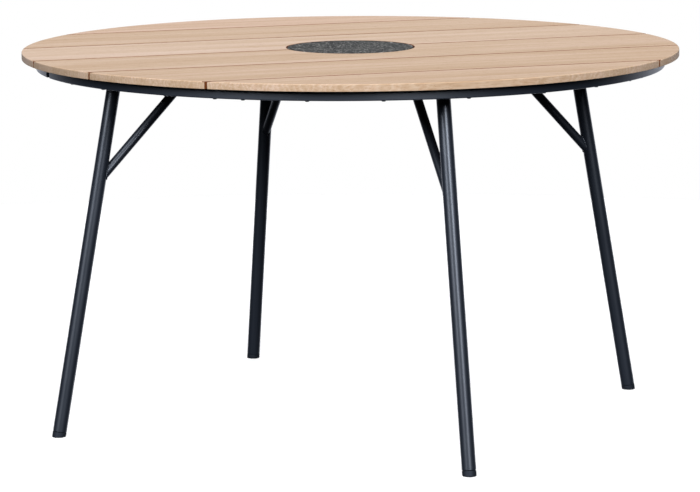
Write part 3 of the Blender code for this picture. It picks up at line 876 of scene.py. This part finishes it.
def make_room():
    """White behind the table, and for its light and reflections a dim room with a lit backdrop."""
    world = bpy.data.worlds.new("studio")
    bpy.context.scene.world = world
    world.use_nodes = True
    tree = world.node_tree
    tree.nodes.clear()
    seen = add(tree, "ShaderNodeLightPath").outputs["Is Camera Ray"]
    way = add(tree, "ShaderNodeTexCoord").outputs["Generated"]
    ahead = add(tree, "ShaderNodeVectorMath", {"operation": "DOT_PRODUCT"},
                {0: way, 1: turn(-BACKDROP_TURN) @ VIEW_WAY})
    sweep, backdrop = (
        add(tree, "ShaderNodeValToRGB", links={"Fac": ahead.outputs["Value"]}, stops=[
            (where, (brightness, brightness, brightness, 1)) for where, brightness in stops]).outputs[0]
        for stops in (SWEEP, BACKDROP))
    rise = add(tree, "ShaderNodeSeparateXYZ", links={0: way}).outputs["Z"]
    above = add(tree, "ShaderNodeMapRange", links={
        "Value": rise, "From Min": -HORIZON_BLUR, "From Max": HORIZON_BLUR})
    room = add(tree, "ShaderNodeMix", {"data_type": "RGBA"},
               {"Factor": above.outputs[0], 6: sweep, 7: backdrop})
    around = add(tree, "ShaderNodeBackground", links={
        "Color": linear("#EEF2FF"), "Strength": room.outputs[2]})
    behind = add(tree, "ShaderNodeBackground", links={"Color": (1, 1, 1, 1), "Strength": 1.0})
    mix = add(tree, "ShaderNodeMixShader", links={0: seen, 1: around.outputs[0], 2: behind.outputs[0]})
    add(tree, "ShaderNodeOutputWorld", links={"Surface": mix.outputs[0]})


def make_lamp(name, kind, spot, aim, power, lit=None):
    """A lamp that points at a place and isn't seen. It lights the pieces in one collection, or all."""
    light = bpy.data.lights.new(name, kind)
    light.energy = power
    lamp = bpy.data.objects.new(name, light)
    lamp.location = spot
    lamp.rotation_euler = (Vector(aim) - Vector(spot)).to_track_quat("-Z", "Y").to_euler()
    lamp.visible_camera = False
    bpy.context.scene.collection.objects.link(lamp)
    if lit:
        lamp.light_linking.receiver_collection = lit
    return light


def make_lights(floor):
    """Wide suns over the camera, a wash on the floor, and the soft boxes that the frame reflects."""
    for name, elevation, strength, lit in (("key_light", KEY_ELEVATION, KEY_STRENGTH, None),
                                           ("top_light", TOP_ELEVATION, TOP_STRENGTH, TOP_PIECES)):
        spot = VIEW_WAY * -math.cos(elevation) + Vector((0, 0, math.sin(elevation)))
        make_lamp(name, "SUN", spot, (0, 0, 0), strength, lit).angle = SUN_WIDTH

    # The wash evens out the floor only, so that the legs stand on plain white.
    washed = bpy.data.collections.new("washed")
    washed.objects.link(floor)
    wash = make_lamp("floor_wash", "SUN", (0, 0, FLOOR_WASH_HEIGHT), (0, 0, 0), FLOOR_WASH_STRENGTH, washed)
    wash.use_shadow = False

    for name, degrees, distance, height, width, tall, brightness in SOFT_BOXES:
        spot = turn(-math.radians(degrees)) @ (VIEW_WAY * -distance)
        # An evenly bright panel gives off pi times its brightness and its area.
        box = make_lamp(name, "AREA", (*spot.xy, height), (0, 0, height),
                        brightness * math.pi * width * tall, FRAME_PIECES)
        box.shape = "RECTANGLE"
        box.size = width
        box.size_y = tall


def make_camera():
    """The photograph's camera. It stands where the fit found it, and looks at the table's middle."""
    data = bpy.data.cameras.new("camera")
    data.sensor_width = SENSOR_WIDTH_MM
    data.sensor_fit = "HORIZONTAL"
    data.lens = FOCAL_LENGTH_PIXELS / IMAGE_WIDTH * SENSOR_WIDTH_MM
    data.clip_end = 100
    camera = bpy.data.objects.new("camera", data)
    camera.matrix_world = (
        Matrix.Translation((-CAMERA_DISTANCE * math.sin(CAMERA_TURN),
                            -CAMERA_DISTANCE * math.cos(CAMERA_TURN), CAMERA_HEIGHT))
        @ Matrix.Rotation(CAMERA_AIM - CAMERA_TURN, 4, "Z")
        @ Matrix.Rotation(math.pi / 2 - CAMERA_PITCH, 4, "X")
        @ Matrix.Rotation(CAMERA_ROLL, 4, "Z"))
    bpy.context.scene.collection.objects.link(camera)
    bpy.context.scene.camera = camera


def finish_kept_solids():
    """The flat-sided solids stay as they are, in their finishes."""
    kept = {"joint_bar": COAT, "centre_beam": COAT, "side_beam": COAT, "leg_plate": COAT, "leg_bolt": ZINC}
    for name, node in frame["nodes"].items():
        for start, material in kept.items():
            if name.startswith(start):
                FRAME_PIECES.objects.link(node)
                for slot in node.material_slots:
                    slot.material = material


make_camera()
make_room()
make_lights(make_floor())
make_planks()
make_stone()
finish_kept_solids()
screw = screw_head()
for half, angle in HALVES.items():
    make_ring(half, angle)
    make_frame_welds(half, angle)
    make_screws(half, angle, screw)
for side, angle in SIDES.items():
    make_leg(side, angle)
make_feet()
bpy.context.scene.view_settings.view_transform = "Standard"
